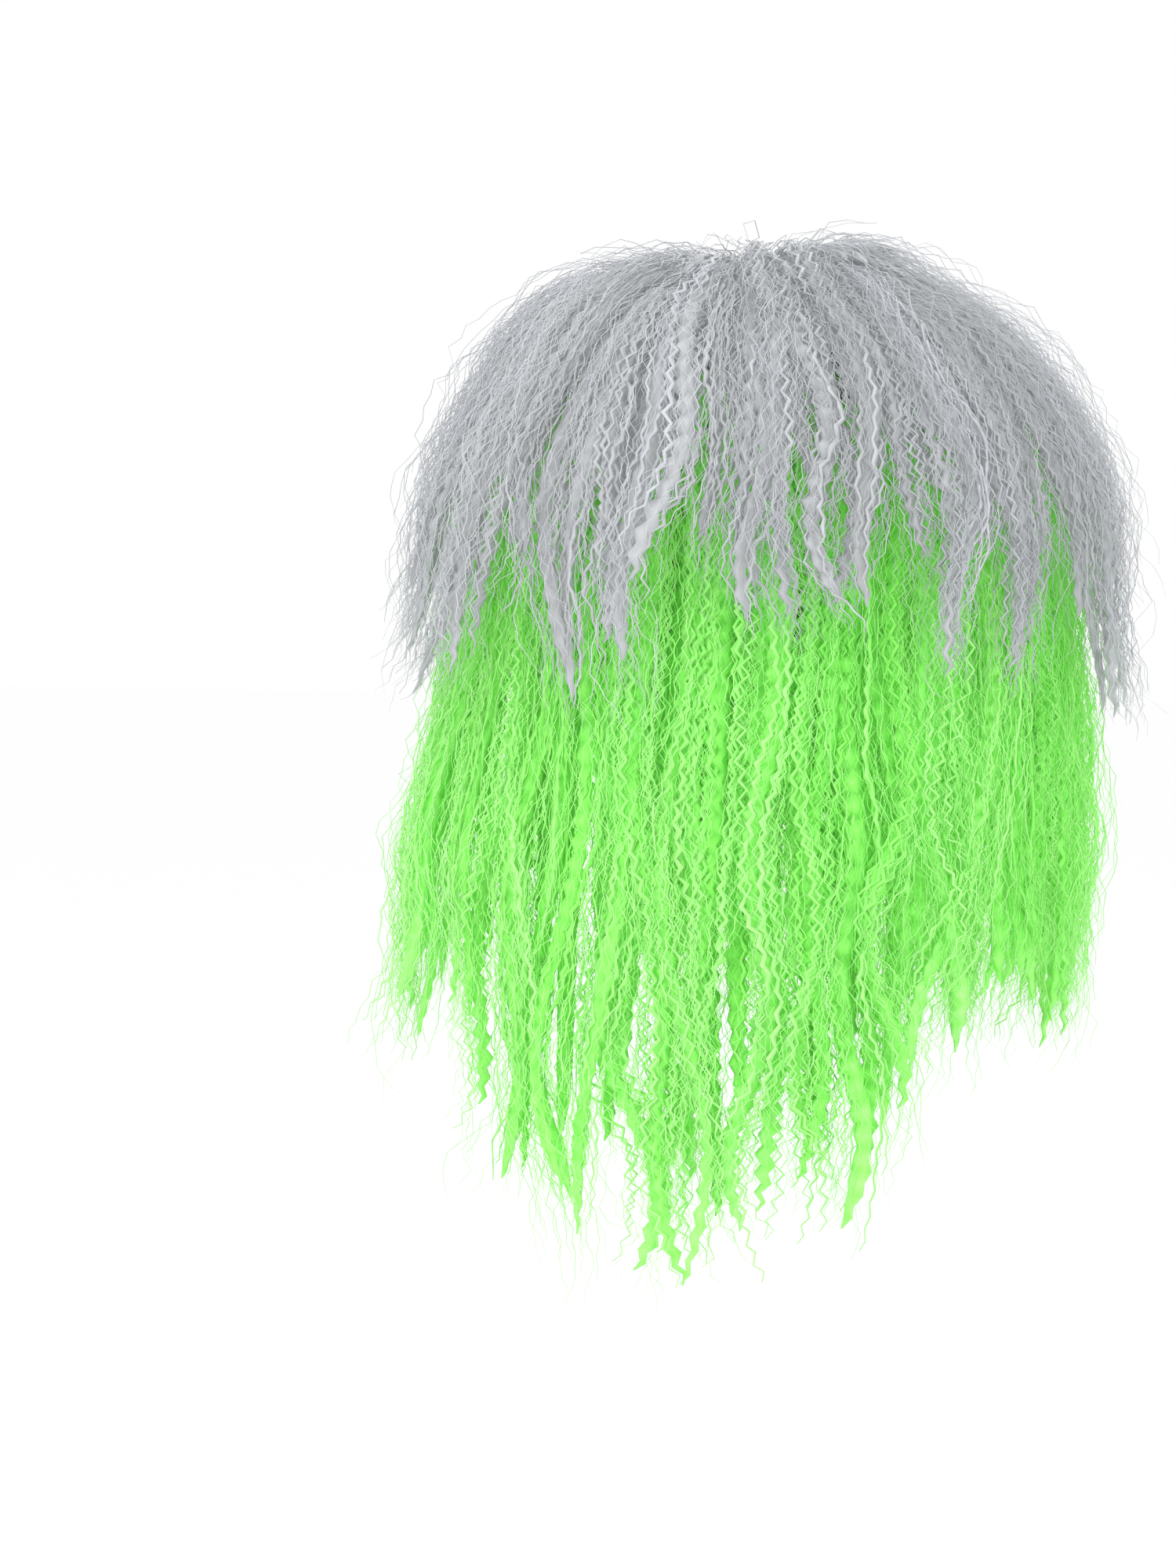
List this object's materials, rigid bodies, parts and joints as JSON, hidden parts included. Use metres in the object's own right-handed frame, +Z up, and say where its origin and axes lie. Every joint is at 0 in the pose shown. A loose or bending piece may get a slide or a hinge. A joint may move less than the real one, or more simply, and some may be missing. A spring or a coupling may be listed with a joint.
{
  "type": "costume wig",
  "caption": "Net-cap costume wig with a short grey crimped top layer over long lime-green crimped hair, ear tabs and nape adjusters.",
  "frame": {"origin": "inner crown of the cap, where the top of the head seats", "axes": "+Z up, -Y towards the wearer's face, +X towards the wearer's left"},
  "size_m": [0.255, 0.2699, 0.359],
  "materials": {
    "cap_net": "stretch net, open hexagonal mesh, matt",
    "edge_tape": "folded woven tape, stitched along both edges",
    "elastic": "knitted elastic and ribbon, fine ribs",
    "ear_stay": "bendable flat stay",
    "hook_plastic": "small moulded hook",
    "grey_weft": "triple-stitched fibre heading",
    "green_weft": "triple-stitched fibre heading",
    "grey_hair": "crimped synthetic fibre, soft sheen",
    "green_hair": "crimped synthetic fibre, bright, soft sheen"
  },
  "bodies": {
    "cap": {"crown_net": "cap_net", "front_net": "cap_net", "left_net": "cap_net", "right_net": "cap_net", "back_net": "cap_net", "front_band": "edge_tape", "left_temple_band": "edge_tape", "right_temple_band": "edge_tape", "left_ear_band": "edge_tape", "right_ear_band": "edge_tape", "nape_band": "edge_tape", "centre_ribbon": "elastic", "left_ribbon": "elastic", "right_ribbon": "elastic", "left_adjuster_casing": "edge_tape", "right_adjuster_casing": "edge_tape", "adjuster_loops": "elastic", "crown_whorl": "cap_net", "grey_track_1": "grey_weft", "grey_track_2": "grey_weft", "grey_track_3": "grey_weft", "grey_track_4": "grey_weft", "fringe_track": "grey_weft", "green_track_1": "green_weft", "green_track_2": "green_weft", "green_track_3": "green_weft", "green_track_4": "green_weft", "green_track_5": "green_weft", "green_track_6": "green_weft", "grey_crown_hair": "grey_hair", "fringe_roots": "grey_hair", "left_side_grey_roots": "grey_hair", "left_back_grey_roots": "grey_hair", "right_back_grey_roots": "grey_hair", "right_side_grey_roots": "grey_hair", "left_side_green_roots": "green_hair", "left_back_green_roots": "green_hair", "right_back_green_roots": "green_hair", "right_side_green_roots": "green_hair"},
    "fringe": {"fringe_ends": "grey_hair"},
    "left_side_grey": {"left_side_grey_ends": "grey_hair"},
    "left_back_grey": {"left_back_grey_ends": "grey_hair"},
    "right_back_grey": {"right_back_grey_ends": "grey_hair"},
    "right_side_grey": {"right_side_grey_ends": "grey_hair"},
    "left_side_green": {"left_side_green_ends": "green_hair"},
    "left_back_green": {"left_back_green_ends": "green_hair"},
    "right_back_green": {"right_back_green_ends": "green_hair"},
    "right_side_green": {"right_side_green_ends": "green_hair"},
    "left_tab": {"left_ear_tab": "edge_tape", "left_ear_stay": "ear_stay"},
    "right_tab": {"right_ear_tab": "edge_tape", "right_ear_stay": "ear_stay"},
    "left_adjuster": {"left_adjuster_strap": "elastic", "left_adjuster_hook": "hook_plastic"},
    "right_adjuster": {"right_adjuster_strap": "elastic", "right_adjuster_hook": "hook_plastic"}
  },
  "joints": [
    {"name": "fringe_swing", "type": "hinge", "parent": "cap", "child": "fringe", "pos_m": [0, -0.107, -0.0665], "axis": [-1, 0, 0], "range_deg": [0, 25]},
    {"name": "left_side_grey_swing", "type": "hinge", "parent": "cap", "child": "left_side_grey", "pos_m": [0.09606, -0.03121, -0.066], "axis": [-0.309, -0.9511, 0], "range_deg": [0, 25]},
    {"name": "left_back_grey_swing", "type": "hinge", "parent": "cap", "child": "left_back_grey", "pos_m": [0.06348, 0.08737, -0.066], "axis": [0.809, -0.5878, 0], "range_deg": [0, 25]},
    {"name": "right_back_grey_swing", "type": "hinge", "parent": "cap", "child": "right_back_grey", "pos_m": [-0.06348, 0.08737, -0.066], "axis": [0.809, 0.5878, 0], "range_deg": [0, 25]},
    {"name": "right_side_grey_swing", "type": "hinge", "parent": "cap", "child": "right_side_grey", "pos_m": [-0.09606, -0.03121, -0.066], "axis": [-0.309, 0.9511, 0], "range_deg": [0, 25]},
    {"name": "left_side_green_swing", "type": "hinge", "parent": "cap", "child": "left_side_green", "pos_m": [0.0913, -0.02967, -0.1555], "axis": [-0.309, -0.9511, 0], "range_deg": [0, 25]},
    {"name": "left_back_green_swing", "type": "hinge", "parent": "cap", "child": "left_back_green", "pos_m": [0.06054, 0.08333, -0.1555], "axis": [0.809, -0.5878, 0], "range_deg": [0, 25]},
    {"name": "right_back_green_swing", "type": "hinge", "parent": "cap", "child": "right_back_green", "pos_m": [-0.06054, 0.08333, -0.1555], "axis": [0.809, 0.5878, 0], "range_deg": [0, 25]},
    {"name": "right_side_green_swing", "type": "hinge", "parent": "cap", "child": "right_side_green", "pos_m": [-0.0913, -0.02967, -0.1555], "axis": [-0.309, 0.9511, 0], "range_deg": [0, 25]},
    {"name": "left_tab_bend", "type": "hinge", "parent": "cap", "child": "left_tab", "pos_m": [0.07322, -0.01962, -0.1214], "axis": [-0.2588, -0.9659, 0], "range_deg": [-10, 25]},
    {"name": "right_tab_bend", "type": "hinge", "parent": "cap", "child": "right_tab", "pos_m": [-0.07322, -0.01962, -0.1214], "axis": [-0.2588, 0.9659, 0], "range_deg": [-10, 25]},
    {"name": "left_adjuster_pull", "type": "hinge", "parent": "cap", "child": "left_adjuster", "pos_m": [0, 0.0234, -0.1436], "axis": [0, 0, 1], "range_deg": [0, 12]},
    {"name": "right_adjuster_pull", "type": "hinge", "parent": "cap", "child": "right_adjuster", "pos_m": [0, 0.0234, -0.1436], "axis": [0, 0, -1], "range_deg": [0, 12]}
  ]
}
